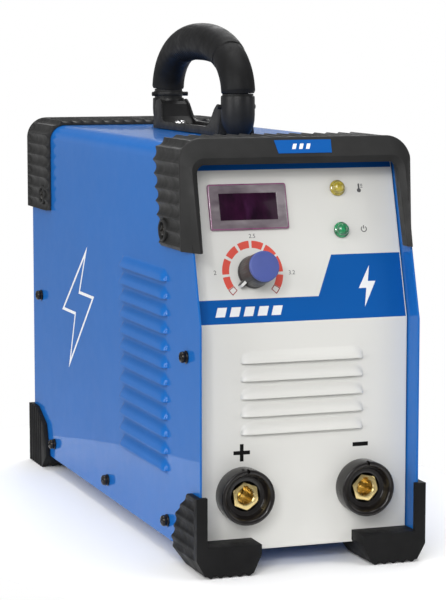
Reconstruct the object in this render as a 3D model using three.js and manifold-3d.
// Stick welding inverter: a portable steel case with moulded corner guards, a
// sloping control panel, two bayonet weld sockets, a carrying handle on top and
// a fan-cooled power stage inside.
//
// Frame: millimetres, +Z up, front panel facing -Y, +X to the right seen from
// the front. The origin is the middle of the footprint, on the floor.
import * as THREE from 'three';
import { mergeVertices } from 'three/addons/utils/BufferGeometryUtils.js';
import Module from 'manifold-3d';

const wasm = await Module();
wasm.setup();

// ---------------------------------------------------------------- dimensions
const CASE_W = 133.0;        // steel cover, outside width
const CASE_L = 367.4;        // steel cover, side length at the bottom edge
const CASE_H = 231.0;        // steel cover, height above the case bottom
const SHEET = 1.0;           // cover sheet
const CORNER_R = 10.0;       // cover top corner, outside radius
const KINK_Z = 131.1;        // front edge is vertical below, leans back above
const TILT_DEG = 16.0;       // lean of the upper front
const FOOT_H = 10.0;         // feet lift the case by this much
const PANEL_IN = 14.5;       // front panel face behind the cover's front edge
const PANEL_T = 1.2;
const PANEL_HALF = 64.9;
const REAR_FACE = 352.0;     // rear panel outer face
const GUARD_X = 70.5;        // corner guards, half width outside
const GUARD_TOP = 235.0;
const GUARD_R = 14.0;
const GUARD_LEG_Z = 172.0;   // guard legs end here
const REAR_OUT = 371.4;      // back of the rear guard
const GAP = 0.3;
const SOCKET_X = 36.7, SOCKET_Z = 33.2, SOCKET_R = 16.0, SOCKET_OUT = 12.0;
const KNOB_X = -27.2, KNOB_S = 29.5, KNOB_R = 9.4, KNOB_TOP = 20.4;
const WIN_X = -26.6, WIN_S = 67.3, WIN_W = 47.4, WIN_H = 26.7;
const LAMP_X = 29.3, LAMP_S = [77.0, 52.3];
const HANDLE_Y = 191.9, HANDLE_A = 69.2, HANDLE_B = 34.4, HANDLE_N = 2.19;
const HANDLE_Z0 = 257.0, GRIP_R = 11.0;
const FAN_Z = 72.0, FAN_HALF = 59.5, FAN_BORE = 56.0;
const LOUVRE_PITCH = 10.12;
const Y_FRONT = -3.6;                      // front of the front feet
const Y_MID = (Y_FRONT + REAR_OUT) / 2;    // middle of the footprint

const TILT = THREE.MathUtils.degToRad(TILT_DEG);
const TT = Math.tan(TILT);

// ---------------------------------------------------------------- materials
const mat = (color, roughness, metalness) =>
  new THREE.MeshStandardMaterial({ color, roughness, metalness });
const M = {
  blue: mat(0x2f74bd, 0.35, 0.1), white: mat(0xd9d9d2, 0.5, 0.0),
  black: mat(0x2c2c2c, 0.65, 0.0), rubber: mat(0x303030, 0.8, 0.0),
  brass: mat(0xc9a23e, 0.3, 1.0), chrome: mat(0xd8d8d8, 0.15, 1.0),
  screw: mat(0x161616, 0.4, 0.6), smoke: mat(0x3a1030, 0.1, 0.0),
  knob: mat(0x3c4a8c, 0.45, 0.0), yellow: mat(0xb8a030, 0.2, 0.0),
  green: mat(0x1d8a4a, 0.2, 0.0), pcb: mat(0x1d5a34, 0.5, 0.0),
  alu: mat(0xb8bcc0, 0.4, 0.9), copper: mat(0xb06a3a, 0.4, 0.9),
  ferrite: mat(0x3a3a3c, 0.7, 0.0), steel: mat(0x8f9296, 0.4, 0.9),
  red: mat(0xb02020, 0.4, 0.0), cap: mat(0x22262c, 0.4, 0.0),
};

// ---------------------------------------------------------------- geometry
function volumeOf(pos, idx) {
  let v = 0;
  for (let i = 0; i < idx.length; i += 3) {
    const a = idx[i] * 3, b = idx[i + 1] * 3, c = idx[i + 2] * 3;
    v += pos[a] * (pos[b + 1] * pos[c + 2] - pos[b + 2] * pos[c + 1])
      - pos[a + 1] * (pos[b] * pos[c + 2] - pos[b + 2] * pos[c])
      + pos[a + 2] * (pos[b] * pos[c + 1] - pos[b + 1] * pos[c]);
  }
  return v / 6;
}
// A closed geometry becomes a solid, whichever way its faces were wound.
function solid(geometry) {
  let g = geometry.clone();
  g.deleteAttribute('normal');
  g.deleteAttribute('uv');
  g.clearGroups();
  g = mergeVertices(g, 1e-4);
  const pos = new Float32Array(g.attributes.position.array);
  const raw = g.index.array;
  const idx = [];
  for (let i = 0; i < raw.length; i += 3) {
    const [a, b, c] = [raw[i], raw[i + 1], raw[i + 2]];
    if (a !== b && b !== c && a !== c) idx.push(a, b, c);
  }
  if (volumeOf(pos, idx) < 0) {
    for (let i = 0; i < idx.length; i += 3) [idx[i + 1], idx[i + 2]] = [idx[i + 2], idx[i + 1]];
  }
  return new wasm.Manifold(new wasm.Mesh({
    numProp: 3, vertProperties: pos, triVerts: new Uint32Array(idx),
  }));
}
function geometryOf(body) {
  const m = body.getMesh();
  const n = m.numProp;
  const p = new Float32Array((m.vertProperties.length / n) * 3);
  for (let i = 0, j = 0; i < m.vertProperties.length; i += n, j += 3) {
    p[j] = m.vertProperties[i]; p[j + 1] = m.vertProperties[i + 1]; p[j + 2] = m.vertProperties[i + 2];
  }
  const g = new THREE.BufferGeometry();
  g.setAttribute('position', new THREE.BufferAttribute(p, 3));
  g.setIndex(new THREE.BufferAttribute(new Uint32Array(m.triVerts), 1));
  g.computeVertexNormals();
  return g;
}
const join = (...s) => s.reduce((a, b) => a.add(b));
const cut = (a, ...s) => s.reduce((x, y) => x.subtract(y), a);

const box = (x0, x1, y0, y1, z0, z1) => solid(
  new THREE.BoxGeometry(x1 - x0, y1 - y0, z1 - z0)
    .translate((x0 + x1) / 2, (y0 + y1) / 2, (z0 + z1) / 2));
const shapeOf = (pts) => new THREE.Shape(pts.map(([a, b]) => new THREE.Vector2(a, b)));
const extrude = (pts, depth) =>
  new THREE.ExtrudeGeometry(shapeOf(pts), { depth, bevelEnabled: false, steps: 1 });
// polygon in (y, z), extruded along X
function prismX(pts, x0, x1, asGeometry = false) {
  const g = extrude(pts, x1 - x0).applyMatrix4(new THREE.Matrix4().set(
    0, 0, 1, x0, 1, 0, 0, 0, 0, 1, 0, 0, 0, 0, 0, 1));
  return asGeometry ? g : solid(g);
}
// polygon in (x, z), extruded along Y
function prismY(pts, y0, y1) {
  return solid(extrude(pts, y1 - y0).applyMatrix4(new THREE.Matrix4().set(
    1, 0, 0, 0, 0, 0, -1, y1, 0, 1, 0, 0, 0, 0, 0, 1)));
}
// polygon in (x, y), extruded along Z
const prismZ = (pts, z0, z1) => solid(extrude(pts, z1 - z0).translate(0, 0, z0));
// cylinder along 'x', 'y' or 'z' from a to b, centred on the other two axes
function cyl(axis, r, a, b, c1, c2, seg = 20, r2 = r, phase = 0) {
  const g = new THREE.CylinderGeometry(r2, r, b - a, seg).rotateY(phase).translate(0, (a + b) / 2, 0);
  if (axis === 'x') g.applyMatrix4(new THREE.Matrix4().set(0, 1, 0, 0, 1, 0, 0, c1, 0, 0, -1, c2, 0, 0, 0, 1));
  if (axis === 'y') g.translate(c1, 0, c2);
  if (axis === 'z') g.applyMatrix4(new THREE.Matrix4().set(1, 0, 0, c1, 0, 0, 1, c2, 0, 1, 0, 0, 0, 0, 0, 1));
  return solid(g);
}
// profile of [radius, height] turned round Y (height along +Y)
function turned(profile, seg, cx, cz) {
  const g = new THREE.LatheGeometry(profile.map(([r, h]) => new THREE.Vector2(Math.max(r, 0), h)), seg);
  return solid(g.translate(cx, 0, cz));
}
const hexagon = (af, cx, cz, phase = 0) => Array.from({ length: 6 }, (_, i) => {
  const a = phase + i * Math.PI / 3, r = af / 2 / Math.cos(Math.PI / 6);
  return [cx + r * Math.cos(a), cz + r * Math.sin(a)];
});
function mirrored(body, axis, about = 0) {
  const g = geometryOf(body);
  const s = new THREE.Matrix4().makeScale(axis === 'x' ? -1 : 1, axis === 'y' ? -1 : 1, 1);
  g.applyMatrix4(s);
  if (axis === 'y') g.translate(0, 2 * about, 0);
  return solid(g);
}
// an arch: flat bottom at zLow, rounded top corners
function archOutline(half, top, r, zLow, seg = 5) {
  const pts = [[half, zLow]];
  for (let i = 0; i <= seg; i++) {
    const a = (i / seg) * Math.PI / 2;
    pts.push([half - r + r * Math.cos(a), top - r + r * Math.sin(a)]);
  }
  for (let i = 0; i <= seg; i++) {
    const a = Math.PI / 2 + (i / seg) * Math.PI / 2;
    pts.push([-half + r + r * Math.cos(a), top - r + r * Math.sin(a)]);
  }
  pts.push([-half, zLow]);
  return pts;
}

// ---------------------------------------------------------------- groups
const machine = new THREE.Group();                    // case frame: front edge y=0, case bottom z=0
machine.position.set(0, -Y_MID, FOOT_H);
// Control panel frame: x across, y into the case, z up the slope, origin on the
// face of the front panel at the bend.
const upper = new THREE.Group();
upper.position.set(0, PANEL_IN, KINK_Z - 0.7);
upper.rotation.x = -TILT;
machine.add(upper);

function piece(name, body, material, parent = machine) {
  const mesh = new THREE.Mesh(geometryOf(body), material);
  mesh.name = name;
  parent.add(mesh);
  return mesh;
}

// ---------------------------------------------------------------- screws
// [y, z] of the cover's own screws and of the guard screws, on each side
const SIDE_SCREWS = {
  front_mid: [23.2, 112.2], rear_mid: [344.4, 111.4],
  bottom_front: [58.8, 10.8], bottom_mid: [182.4, 10.8], bottom_rear: [312.8, 10.8],
};
const GUARD_SCREWS = { front_guard: [56.6, 181.2], rear_guard: [328.6, 183.0] };
const crossRecess = (x0, x1, y, z) => join(
  box(x0, x1, y - 0.45, y + 0.45, z - 2.1, z + 2.1), box(x0, x1, y - 2.1, y + 2.1, z - 0.45, z + 0.45));
function sideScrew(side, headFace, headBase, tip, y, z) {
  const [a, b] = side < 0 ? [headFace, headBase] : [headBase, headFace];
  const head = cyl('x', 3.5, a, b, y, z, 12, side < 0 ? 3.5 : 3.0);
  const headC = side < 0 ? cyl('x', 3.0, a, b, y, z, 12, 3.5) : head;
  const shank = side < 0 ? cyl('x', 1.95, headBase - 0.2, tip, y, z, 8)
    : cyl('x', 1.95, tip, headBase + 0.2, y, z, 8);
  const cr = side < 0 ? crossRecess(headFace - 1, headFace + 1.4, y, z)
    : crossRecess(headFace - 1.4, headFace + 1, y, z);
  return cut(join(side < 0 ? headC : head, shank), cr);
}
const CX = CASE_W / 2;
for (const [name, [y, z]] of Object.entries(SIDE_SCREWS)) {
  for (const s of [-1, 1]) {
    const b = sideScrew(s, s * (CX + 4.4), s * (CX + GAP), s * (CX - 6.5), y, z);
    piece(`screw_${name}_${s < 0 ? 'left' : 'right'}`, b, M.screw);
  }
}
for (const [name, [y, z]] of Object.entries(GUARD_SCREWS)) {
  for (const s of [-1, 1]) {
    const b = sideScrew(s, s * (CX + 4.4), s * (CX + 1.6), s * (CX - 6.0), y, z);
    piece(`screw_${name}_${s < 0 ? 'left' : 'right'}`, b, M.screw);
  }
}

// ---------------------------------------------------------------- cover
const FAR = 600;
// everything in front of the cover's front edge line, moved back by d
const frontCutter = (d, x = 90) => prismX([
  [d, -60], [d, KINK_Z], [d + (300 - KINK_Z) * TT, 300], [-200, 300], [-200, -60]], -x, x);
const behindFront = (d, x = 90) => prismX([
  [d, -60], [FAR, -60], [FAR, 300], [d + (300 - KINK_Z) * TT, 300], [d, KINK_Z]], -x, x);
{
  const inner = archOutline(CX - SHEET, CASE_H - SHEET, CORNER_R - SHEET, -5);
  let cover = cut(prismY(archOutline(CX, CASE_H, CORNER_R, 0), 0, CASE_L), prismY(inner, -5, CASE_L + 5));
  cover = cut(cover, frontCutter(0));
  // side louvres: hooded outward, open at the bottom edge
  const y0 = 58.4, y1 = 150.0;
  for (let k = 0; k < 12; k++) {
    const zb = 40.0 + k * LOUVRE_PITCH;
    for (const s of [-1, 1]) {
      const hood = prismY([[s * (CX - 0.5), zb], [s * (CX + 3.2), zb], [s * (CX + 2.6), zb + 3.4], [s * (CX - 0.5), zb + 7.4]], y0, y1);
      const slot = prismY([[s * (CX - 2.5), zb - 0.4], [s * (CX + 2.4), zb - 0.4], [s * (CX + 1.7), zb + 3.0], [s * (CX - 0.2), zb + 5.6], [s * (CX - 2.5), zb + 5.6]], y0 + 2.5, y1 - 2.5);
      cover = cut(cover.add(hood), slot);
    }
  }
  for (const [y, z] of [...Object.values(SIDE_SCREWS), ...Object.values(GUARD_SCREWS)]) {
    cover = cut(cover, cyl('x', 2.4, -90, 90, y, z, 12));
  }
  for (const y of [HANDLE_Y - 44.6, HANDLE_Y + 44.6]) cover = cut(cover, cyl('z', 2.9, 200, 260, 0, y, 12));
  piece('cover_shell', cover, M.blue);
}

// ---------------------------------------------------------------- base tray
{
  const X = PANEL_HALF, F = 22;
  let tray = cut(box(-X, X, 30, 346, GAP, F), box(-X + 1.2, X - 1.2, 20, 360, GAP + 1.2, 60));
  tray = tray.add(box(-X + 12, X - 12, 16.4, 31, GAP, GAP + 1.2)).add(box(-X + 12, X - 12, 345, 350.4, GAP, GAP + 1.2));
  for (const y of [58.8, 182.4, 312.8]) tray = cut(tray, cyl('x', 2.4, -90, 90, y, 10.8, 12));
  piece('base_tray', tray, M.blue);
}

// ---------------------------------------------------------------- front panel
const panelBand = (d0, d1, z0, z1) => [
  [PANEL_IN + d0, z0], [PANEL_IN + d1, z0], [PANEL_IN + d1, KINK_Z - 0.7],
  [PANEL_IN + d1 + (z1 - KINK_Z + 0.7) * TT, z1], [PANEL_IN + d0 + (z1 - KINK_Z + 0.7) * TT, z1],
  [PANEL_IN + d0, KINK_Z - 0.7]];
{
  const top = CASE_H - SHEET - GAP - 0.2;
  let p = prismX(panelBand(0, PANEL_T, 0.4, top), -PANEL_HALF, PANEL_HALF);
  // the top corners clear the cover's rounded corners
  const sideFlange = panelBand(PANEL_T - 0.4, 13, 24, 218);
  for (const s of [-1, 1]) {
    const [a, b] = s < 0 ? [-PANEL_HALF, -PANEL_HALF + 1.2] : [PANEL_HALF - 1.2, PANEL_HALF];
    p = p.add(prismX(sideFlange, a, b));
  }
  const yTop = PANEL_IN + (top - KINK_Z + 0.7) * TT;
  p = p.add(box(-54, 54, yTop, yTop + 13, top - 1.2, top));
  const corner = cut(box(-80, 80, 0, 80, 205, 260), prismY(archOutline(CX - SHEET - GAP - 0.2, CASE_H - SHEET - GAP - 0.1, CORNER_R - SHEET, 190), -5, 90));
  p = cut(p, corner);
  // vents: five pressed louvres above the sockets
  for (let k = 0; k < 5; k++) {
    const zb = 67.5 + k * 10.2;
    const hood = prismX([[PANEL_IN + 0.5, zb], [PANEL_IN - 3.0, zb], [PANEL_IN - 2.5, zb + 3.2], [PANEL_IN + 0.5, zb + 7.4]], -37.4, 37.4);
    const slot = prismX([[PANEL_IN + 3, zb - 0.4], [PANEL_IN - 2.2, zb - 0.4], [PANEL_IN - 1.6, zb + 2.8], [PANEL_IN + 0.2, zb + 5.6], [PANEL_IN + 3, zb + 5.6]], -34.9, 34.9);
    p = cut(p.add(hood), slot);
  }
  for (const s of [-1, 1]) p = cut(p, cyl('y', 12.2, 0, 60, s * SOCKET_X, SOCKET_Z, 20));
  p = cut(p, cyl('x', 2.4, -90, 90, 23.2, 112.2, 12));
  // openings of the sloping part, cut square to it
  const slope = new THREE.Matrix4().makeRotationX(-TILT).setPosition(0, PANEL_IN, KINK_Z - 0.7);
  const tilted = (b) => solid(geometryOf(b).applyMatrix4(slope));
  p = cut(p, tilted(box(WIN_X - 22.9, WIN_X + 22.9, -10, 10, WIN_S - 12.5, WIN_S + 12.5)));
  p = cut(p, tilted(cyl('y', 3.9, -10, 10, KNOB_X, KNOB_S, 14)));
  for (const s of LAMP_S) p = cut(p, tilted(cyl('y', 4.2, -10, 10, LAMP_X, s, 14)));
  piece('front_panel', p, M.white);
}

// ---------------------------------------------------------------- rear panel
{
  const top = CASE_H - SHEET - GAP - 0.2, R = REAR_FACE;
  let p = box(-PANEL_HALF, PANEL_HALF, R - 1.2, R, 0.4, top);
  for (const s of [-1, 1]) {
    const [a, b] = s < 0 ? [-PANEL_HALF, -PANEL_HALF + 1.2] : [PANEL_HALF - 1.2, PANEL_HALF];
    p = p.add(box(a, b, R - 13, R - 1, 24, 218));
  }
  p = p.add(box(-54, 54, R - 13, R - 1, top - 1.2, top));
  const corner = cut(box(-80, 80, 330, 360, 205, 260), prismY(archOutline(CX - SHEET - GAP - 0.2, CASE_H - SHEET - GAP - 0.1, CORNER_R - SHEET, 190), 320, 370));
  p = cut(p, corner, cyl('x', 2.4, -90, 90, 344.4, 111.4, 12));
  p = cut(p, cyl('y', FAN_BORE, 340, 360, 0, FAN_Z, 32));
  p = cut(p, box(-28 - 11.3, -28 + 11.3, 340, 360, 185 - 14, 185 + 14));
  p = cut(p, cyl('y', 10.3, 340, 360, 30, 185, 18), cyl('y', 3.4, 340, 360, 46, 148, 12));
  piece('rear_panel', p, M.blue);
}

// ---------------------------------------------------------------- corner guards
const sheetSlotOuter = archOutline(CX + GAP, CASE_H + GAP, CORNER_R + GAP, -60);
const sheetSlotInner = archOutline(CX - SHEET - GAP, CASE_H - SHEET - GAP, CORNER_R - SHEET - GAP, -61);
const openOutline = archOutline(61.0, 220.0, 7.0, -62);
{
  let g = prismY(archOutline(GUARD_X, GUARD_TOP, GUARD_R, GUARD_LEG_Z, 6), -20, 100);
  g = cut(g, frontCutter(-6.2));
  // back edge leans a little less than the front
  const t2 = Math.tan(THREE.MathUtils.degToRad(12.5));
  g = cut(g, prismX([[62.0, 168], [62.0 + 70 * t2, 238], [200, 238], [200, 168]], -90, 90));
  const slot = cut(prismY(sheetSlotOuter, -40, 120), prismY(sheetSlotInner, -41, 121)).intersect(behindFront(-GAP));
  g = cut(g, slot, prismY(sheetSlotInner, -40, 120).intersect(behindFront(5)), prismY(openOutline, -40, 120));
  const [y, z] = GUARD_SCREWS.front_guard;
  g = cut(g, cyl('x', 2.5, -90, 90, y, z, 12), cyl('x', 4.1, CX + 1.3, 90, y, z, 14), cyl('x', 4.1, -90, -CX - 1.3, y, z, 14));
  piece('front_guard', g, M.black);

  let r = prismY(archOutline(GUARD_X, GUARD_TOP, GUARD_R, GUARD_LEG_Z + 1, 6), 316, REAR_OUT);
  const rslot = cut(prismY(sheetSlotOuter, 300, CASE_L + GAP), prismY(sheetSlotInner, 299, CASE_L + GAP + 1));
  r = cut(r, rslot, prismY(sheetSlotInner, 300, CASE_L - 5), prismY(openOutline, 300, 400));
  const [y2, z2] = GUARD_SCREWS.rear_guard;
  r = cut(r, cyl('x', 2.5, -90, 90, y2, z2, 12), cyl('x', 4.1, CX + 1.3, 90, y2, z2, 14), cyl('x', 4.1, -90, -CX - 1.3, y2, z2, 14));
  piece('rear_guard', r, M.black);
}

// ---------------------------------------------------------------- feet
{
  const FX = 69.8;
  const foot = (top, chamfered) => {
    const side = [[Y_FRONT, top], [13.5, top], [34.6, 21.4], [38.5, 11], [42.4, 6], [42.4, 0], [29.6, -FOOT_H], [Y_FRONT, -FOOT_H]];
    let f = prismX(side, -FX, -CX - GAP);
    f = f.add(box(-FX, -63.4, Y_FRONT, -GAP, -FOOT_H, top));                     // strip over the sheet edge
    f = f.add(box(-FX, -31.0, Y_FRONT, PANEL_IN - GAP, -FOOT_H, 7.5));           // front lip
    f = f.add(prismX([[Y_FRONT, -GAP], [42.0, -GAP], [29.4, -FOOT_H], [Y_FRONT, -FOOT_H]], -FX, -31.0)); // sole
    f = cut(f, box(-CX - GAP, -CX + SHEET + GAP, -GAP, 60, -GAP, 60));           // slot for the cover sheet
    if (chamfered) f = cut(f, prismY([[-FX - 1, 2.2], [-63.2, -FOOT_H - 1.6], [-FX - 5, -FOOT_H - 1.6]], -10, 60));
    return cut(f, prismY([[-30.0, 4.0], [-37.0, -FOOT_H - 1.0], [-28, -FOOT_H - 1.0]], -10, 60));
  };
  const f = foot(36, true);
  const mid = CASE_L / 2;
  piece('foot_front_left', f, M.rubber);
  piece('foot_front_right', mirrored(f, 'x'), M.rubber);
  // the rear pair reaches the back of the guard, stands a little lower and keeps its side straight down
  const rear = mirrored(foot(31, false), 'y', mid);
  piece('foot_rear_left', rear, M.rubber);
  piece('foot_rear_right', mirrored(rear, 'x'), M.rubber);
}

// ---------------------------------------------------------------- handle
const archPoint = (t, a = HANDLE_A, b = HANDLE_B) => {
  const c = Math.cos(t), s = Math.sin(t);
  return new THREE.Vector3(0, HANDLE_Y + a * Math.sign(c) * Math.abs(c) ** (2 / HANDLE_N),
    HANDLE_Z0 + b * Math.abs(s) ** (2 / HANDLE_N) - 2.0);
};
{
  const path = [];
  for (let i = 0; i <= 24; i++) path.push(archPoint(Math.PI * (1 - i / 24)));
  path[0].z = path[24].z = HANDLE_Z0 + GAP;
  const curve = new THREE.CatmullRomCurve3(path, false, 'centripetal');
  const ring = new THREE.Shape();
  for (let i = 0; i < 14; i++) {
    const a = (i / 14) * Math.PI * 2;
    const p = [GRIP_R * Math.cos(a), GRIP_R * Math.sin(a)];
    if (i === 0) ring.moveTo(...p); else ring.lineTo(...p);
  }
  ring.closePath();
  let grip = solid(new THREE.ExtrudeGeometry(ring, { steps: 20, bevelEnabled: false, extrudePath: curve }));
  grip = cut(grip, box(-30, 30, 60, 320, 230, HANDLE_Z0 + GAP));
  piece('handle_grip', grip, M.rubber);

  const zb = CASE_H + GAP;
  let base = box(-12, 12, HANDLE_Y - 66, HANDLE_Y + 66, zb, zb + 5);
  for (const s of [-1, 1]) {
    const y = HANDLE_Y + s * 68.4;
    base = base.add(cyl('z', 10.7, zb, HANDLE_Z0, 0, y, 20, 10.4));
    base = base.add(prismX([[y, zb], [y - s * 27, zb], [y - s * 23, zb + 5], [y - s * 12, 250], [y, 252]], -11, 11));
  }
  for (const s of [-1, 1]) {
    const y = HANDLE_Y + s * 44.6;
    base = cut(base, cyl('z', 2.9, 220, 260, 0, y, 12), cyl('z', 4.9, zb + 2.4, 262, 0, y, 14));
    const top = zb + 2.7;
    const scr = cut(join(cyl('z', 4.4, top, top + 3.0, 0, y, 14, 3.6), cyl('z', 2.4, 222, top + 0.2, 0, y, 10)),
      box(-2.4, 2.4, y - 0.5, y + 0.5, top + 1.6, 250), box(-0.5, 0.5, y - 2.4, y + 2.4, top + 1.6, 250));
    piece(s < 0 ? 'handle_screw_front' : 'handle_screw_rear', scr, M.chrome);
  }
  piece('handle_base', base, M.black);
}

// ---------------------------------------------------------------- controls
{
  // display: tinted window with a shallow skirt through the cut-out, module behind
  let w = box(WIN_X - WIN_W / 2, WIN_X + WIN_W / 2, -1.8, -GAP, WIN_S - WIN_H / 2, WIN_S + WIN_H / 2);
  w = w.add(box(WIN_X - 22.5, WIN_X + 22.5, -GAP - 0.1, 6, WIN_S - 12.1, WIN_S + 12.1));
  w = cut(w, box(WIN_X - 21, WIN_X + 21, 0.2, 7, WIN_S - 10.6, WIN_S + 10.6));
  piece('display_window', w, M.smoke, upper);
  piece('display_module', join(box(WIN_X - 19.5, WIN_X + 19.5, 0.6, 7.5, WIN_S - 9.5, WIN_S + 9.5),
    box(WIN_X - 23, WIN_X + 23, 7.3, 9, WIN_S - 13, WIN_S + 13)), M.smoke, upper);

  const lamp = (s) => turned([[0, -5.4], [2.2, -5.2], [3.2, -4.4], [3.5, -3.2], [3.5, -1.9], [4.6, -1.7], [4.6, -GAP],
    [3.9, -GAP], [3.9, 12], [0, 12]], 16, LAMP_X, s);
  piece('overheat_lamp', lamp(LAMP_S[0]), M.yellow, upper);
  piece('power_lamp', lamp(LAMP_S[1]), M.green, upper);

  // knob: skirted body with a pointer, a coloured cap, on the potentiometer's shaft
  let k = turned([[0, -18.1], [8.7, -18.1], [9.0, -16.5], [KNOB_R, -1.2], [KNOB_R, -0.8], [3.3, -0.8], [3.3, -13.5], [0, -13.5]], 24, KNOB_X, KNOB_S);
  const pa = THREE.MathUtils.degToRad(-132);           // rest position, from 12 o'clock
  const dir = [Math.sin(pa), Math.cos(pa)], nrm = [Math.cos(pa), -Math.sin(pa)];
  const at = (r, w2) => [KNOB_X + dir[0] * r + nrm[0] * w2, KNOB_S + dir[1] * r + nrm[1] * w2];
  k = k.add(prismY([at(6, -1.7), at(12.4, -1.1), at(12.4, 1.1), at(6, 1.7)], -5.6, -0.8));
  piece('current_knob', k, M.black, upper);
  piece('knob_cap', turned([[0, -KNOB_TOP], [8.3, -KNOB_TOP], [8.8, -KNOB_TOP + 0.5], [8.8, -18.4], [0, -18.4]], 24, KNOB_X, KNOB_S), M.knob, upper);
  const pot = join(cyl('y', 8.5, 2.2, 11, KNOB_X, KNOB_S, 16), cyl('y', 3.5, -0.4, 2.4, KNOB_X, KNOB_S, 14),
    cyl('y', 3.0, -13.1, -0.2, KNOB_X, KNOB_S, 12), box(KNOB_X - 6, KNOB_X + 6, 9, 11, KNOB_S - 15, KNOB_S));
  piece('potentiometer', pot, M.steel, upper);

  let board = box(-54, 54, 16, 17.6, 8, 88);
  board = join(board, box(20, 34, 17.4, 28, 20, 34), box(-8, 8, 17.4, 24, 40, 60), box(36, 50, 17.4, 25, 60, 70));
  piece('control_board', board, M.pcb, upper);
}

// ---------------------------------------------------------------- weld sockets
for (const s of [-1, 1]) {
  const tag = s < 0 ? 'positive' : 'negative';
  const x = s * SOCKET_X, f = PANEL_IN - SOCKET_OUT;
  let body = turned([[13.2, f], [15.4, f], [16.0, f + 0.6], [16.0, PANEL_IN - GAP], [11.9, PANEL_IN - GAP], [11.9, 27],
    [8.7, 27], [8.7, f + 5.4], [11.4, f + 5.4], [13.2, f]], 28, x, SOCKET_Z);
  piece(`socket_body_${tag}`, body, M.black);
  let ins = prismY(hexagon(14.3, x, SOCKET_Z, Math.PI / 2 + 0.12), f + 5, 29.6).add(cyl('y', 6.2, 29.4, 47, x, SOCKET_Z, 16));
  ins = cut(ins, cyl('y', 4.7, f - 5, 26, x, SOCKET_Z, 18), box(x - 1.5, x + 1.5, f, 24, SOCKET_Z, SOCKET_Z + 6.1));
  piece(`socket_insert_${tag}`, ins, M.brass);
  const nut = cut(prismY(hexagon(19, x, SOCKET_Z, Math.PI / 6), 41.6, 46.6), cyl('y', 6.55, 30, 60, x, SOCKET_Z, 16));
  piece(`socket_nut_${tag}`, nut, M.brass);
  // busbar: tab on the stud, then a strip running back to the power board
  const bx = x + s * 11.8;
  let bar = join(box(Math.min(x - s * 10, bx), Math.max(x - s * 10, bx), 38.8, 41.2, SOCKET_Z - 10, SOCKET_Z + 10),
    box(bx - 1, bx + 1, 38.8, 120, SOCKET_Z - 7, SOCKET_Z + 7),
    box(bx - 1, bx + 1, 106, 120, SOCKET_Z, 63));
  bar = cut(bar, cyl('y', 6.55, 30, 50, x, SOCKET_Z, 16));
  piece(`busbar_${tag}`, bar, M.copper);
}

// ---------------------------------------------------------------- power stage
{
  const zt = 64.0;
  let board = box(-57, 57, 72, 316, zt, zt + 1.6);
  for (const x of [-53, 53]) for (const y of [78, 310]) board = board.add(cyl('z', 3, 1.8, zt + 0.2, x, y, 10));
  piece('power_board', board, M.pcb);
  for (const s of [-1, 1]) {
    // finned extrusion under the board: spine along the outside, fins to the middle
    const pts = [[46, 5], [46, 61]];
    for (let i = 0; i < 7; i++) {
      const z = 61 - i * 8.4;
      pts.push([8, z], [8, z - 2.6]);
      if (i < 6) pts.push([40, z - 2.6], [40, z - 8.4]);
    }
    pts[pts.length - 1] = [8, 5];
    piece(`heatsink_${s < 0 ? 'left' : 'right'}`, prismY(pts.map(([a, b]) => [s * a, b]), 140, 296), M.alu);
  }
  const z0 = zt + 1.9, ty = 215;
  const core = cut(box(-27, 27, ty - 9, ty + 9, z0, z0 + 46),
    box(7, 19, ty - 20, ty + 20, z0 + 8, z0 + 38), box(-19, -7, ty - 20, ty + 20, z0 + 8, z0 + 38));
  piece('transformer_core', core, M.ferrite);
  piece('transformer_winding', cut(box(-18.4, 18.4, ty - 19, ty + 19, z0 + 8.6, z0 + 37.4),
    box(-7.6, 7.6, ty - 9.6, ty + 9.6, z0, z0 + 60)), M.copper);
  const ringProfile = [[9, 0.3], [21, 0.3], [23, 2], [23, 20], [21, 22], [9, 22], [7.5, 20], [7.5, 2], [9, 0.3]];
  const choke = new THREE.LatheGeometry(ringProfile.map(([r, h]) => new THREE.Vector2(r, h)), 22)
    .rotateX(Math.PI / 2).translate(0, 150, z0);
  piece('output_choke', solid(choke), M.copper);
  for (const [i, x] of [-24, 24].entries()) {
    piece(`capacitor_${'ab'[i]}`, cyl('z', 15, z0, z0 + 46, x, 283, 18), M.cap);
  }
  piece('bridge_rectifier', cut(box(-17, 17, 92, 118, z0, z0 + 10), box(-2, 2, 103, 107, z0 - 1, z0 + 20)), M.cap);
}

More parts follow.
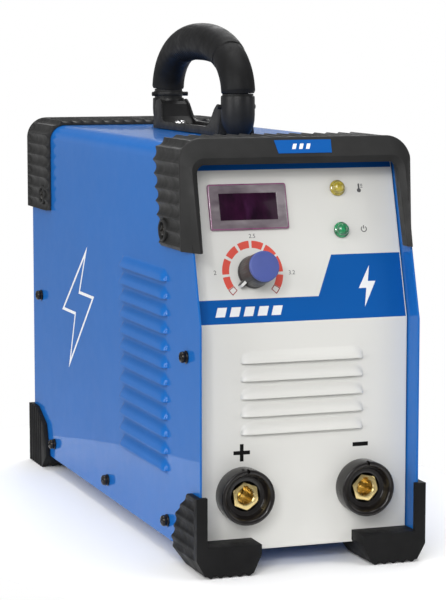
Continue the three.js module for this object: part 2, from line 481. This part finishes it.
// ---------------------------------------------------------------- fan
{
  const y0 = 325.4, y1 = 350.4;
  let frame = cut(box(-FAN_HALF, FAN_HALF, y0, y1, FAN_Z - FAN_HALF, FAN_Z + FAN_HALF), cyl('y', FAN_BORE, y0 - 5, y1 + 5, 0, FAN_Z, 32));
  frame = join(frame, cyl('y', 20, y0, y0 + 3, 0, FAN_Z, 20), cyl('y', 2.0, y0 + 2.8, y1 - 3, 0, FAN_Z, 12));
  for (let i = 0; i < 4; i++) {
    const a = Math.PI / 4 + i * Math.PI / 2, c = Math.cos(a), s = Math.sin(a), w = 2;
    frame = frame.add(prismY([[c * 15 - s * w, FAN_Z + s * 15 + c * w], [c * 15 + s * w, FAN_Z + s * 15 - c * w],
      [c * 60 + s * w, FAN_Z + s * 60 - c * w], [c * 60 - s * w, FAN_Z + s * 60 + c * w]], y0, y0 + 3));
  }
  for (const sx of [-1, 1]) for (const sz of [-1, 1]) {
    frame = cut(frame, cyl('y', 2.2, y0 - 5, y1 + 5, sx * 52.5, FAN_Z + sz * 52.5, 10));
  }
  piece('fan_frame', frame, M.black);

  let rotor = cyl('y', 19, y0 + 4, y1 - 1, 0, FAN_Z, 20);
  const blade = [];
  for (let i = 0; i < 7; i++) {
    // one pitched blade, root inside the hub, built along +Z then turned
    const b = prismZ([[-9.5, y0 + 5.5], [-8.2, y0 + 4.6], [9.5, y1 - 4.4], [8.2, y1 - 3.5]], 16, 53.5);
    const g = geometryOf(b).applyMatrix4(new THREE.Matrix4().makeRotationY(i * 2 * Math.PI / 7));
    g.translate(0, 0, FAN_Z);
    rotor = rotor.add(solid(g));
  }
  rotor = cut(rotor, cyl('y', 2.4, y0, y1 - 2.4, 0, FAN_Z, 12));
  piece('fan_rotor', rotor, M.black);

  const flatRing = (r0, r1, a, b, seg) => {
    const s = new THREE.Shape().absarc(0, 0, r1, 0, Math.PI * 2, false);
    s.holes.push(new THREE.Path().absarc(0, 0, r0, 0, Math.PI * 2, true));
    return solid(new THREE.ExtrudeGeometry(s, { depth: b - a, bevelEnabled: false, curveSegments: seg })
      .applyMatrix4(new THREE.Matrix4().set(1, 0, 0, 0, 0, 0, -1, b, 0, 1, 0, FAN_Z, 0, 0, 0, 1)));
  };
  const g0 = REAR_FACE + GAP, g1 = g0 + 3.2;
  let guard = cyl('y', 9, g0 + 1.4, g1, 0, FAN_Z, 12);
  for (const r of [22, 38, 54.5]) guard = guard.add(flatRing(r - 1.1, r + 1.1, g0 + 1.2, g1 - 0.3, 20));
  for (let i = 0; i < 4; i++) {
    const a = Math.PI / 4 + i * Math.PI / 2, c = Math.cos(a), s = Math.sin(a), w = 1.2;
    guard = guard.add(prismY([[c * 5 - s * w, FAN_Z + s * 5 + c * w], [c * 5 + s * w, FAN_Z + s * 5 - c * w],
      [c * 70 + s * w, FAN_Z + s * 70 - c * w], [c * 70 - s * w, FAN_Z + s * 70 + c * w]], g0 + 0.6, g1 - 0.6));
    guard = guard.add(cyl('y', 4.6, g0, g1 - 0.6, c * 74.2, FAN_Z + s * 74.2, 10));
    guard = cut(guard, cyl('y', 2.2, g0 - 3, g1 + 3, c * 74.2, FAN_Z + s * 74.2, 8));
  }
  piece('fan_guard', guard, M.chrome);
}

// ---------------------------------------------------------------- rear fittings
{
  // mains switch: bezel with a hollow body, and the rocker shown switched off
  const sx = -28, sz = 185, R = REAR_FACE;
  let frame = join(box(sx - 12.8, sx + 12.8, R + GAP, R + 2.3, sz - 15.6, sz + 15.6),
    box(sx - 10.9, sx + 10.9, R - 24, R + GAP + 0.1, sz - 13.6, sz + 13.6));
  frame = cut(frame, box(sx - 8.5, sx + 8.5, R - 12, R + 5, sz - 11.8, sz + 11.8));
  frame = frame.add(box(sx - 6, sx - 4, R - 31, R - 23, sz - 3, sz + 3)).add(box(sx + 4, sx + 6, R - 31, R - 23, sz - 3, sz + 3));
  piece('power_switch_frame', frame, M.black);
  const py = R - 2.0;
  const g = prismX([[-5, -9.4], [1.5, -10.7], [4.2, -10.7], [2.9, 0], [4.2, 10.7], [1.5, 10.7], [-5, 9.4]], -8, 8, true);
  g.rotateX(THREE.MathUtils.degToRad(-10)).translate(sx, py, sz);
  piece('power_switch_rocker', solid(g), M.red);

  // cable gland in the mains inlet hole
  const gx = 30, gz = 185;
  let gland = prismY(hexagon(24, gx, gz), R + GAP, R + 6.3);
  gland = join(gland, cyl('y', 9.9, R - 11, R + 0.5, gx, gz, 18), cyl('y', 11.2, R + 6.1, R + 13, gx, gz, 20, 10.6),
    cyl('y', 10.4, R + 12.8, R + 18.6, gx, gz, 20, 7.2));
  gland = gland.add(prismY(hexagon(25, gx, gz), R - 8.5, R - 1.2 - GAP));       // locknut inside the panel
  gland = cut(gland, cyl('y', 4.5, R - 20, R + 30, gx, gz, 16));
  piece('cable_gland', gland, M.black);

  // protective earth stud with its nut made in one
  const ex = 46, ez = 148;
  piece('earth_stud', join(cyl('y', 3, R - 9, R + 13, ex, ez, 12), prismY(hexagon(10, ex, ez), R + GAP, R + 5.2),
    prismY(hexagon(10, ex, ez), R - 6.2, R - 1.5)), M.brass);
}

export default machine;
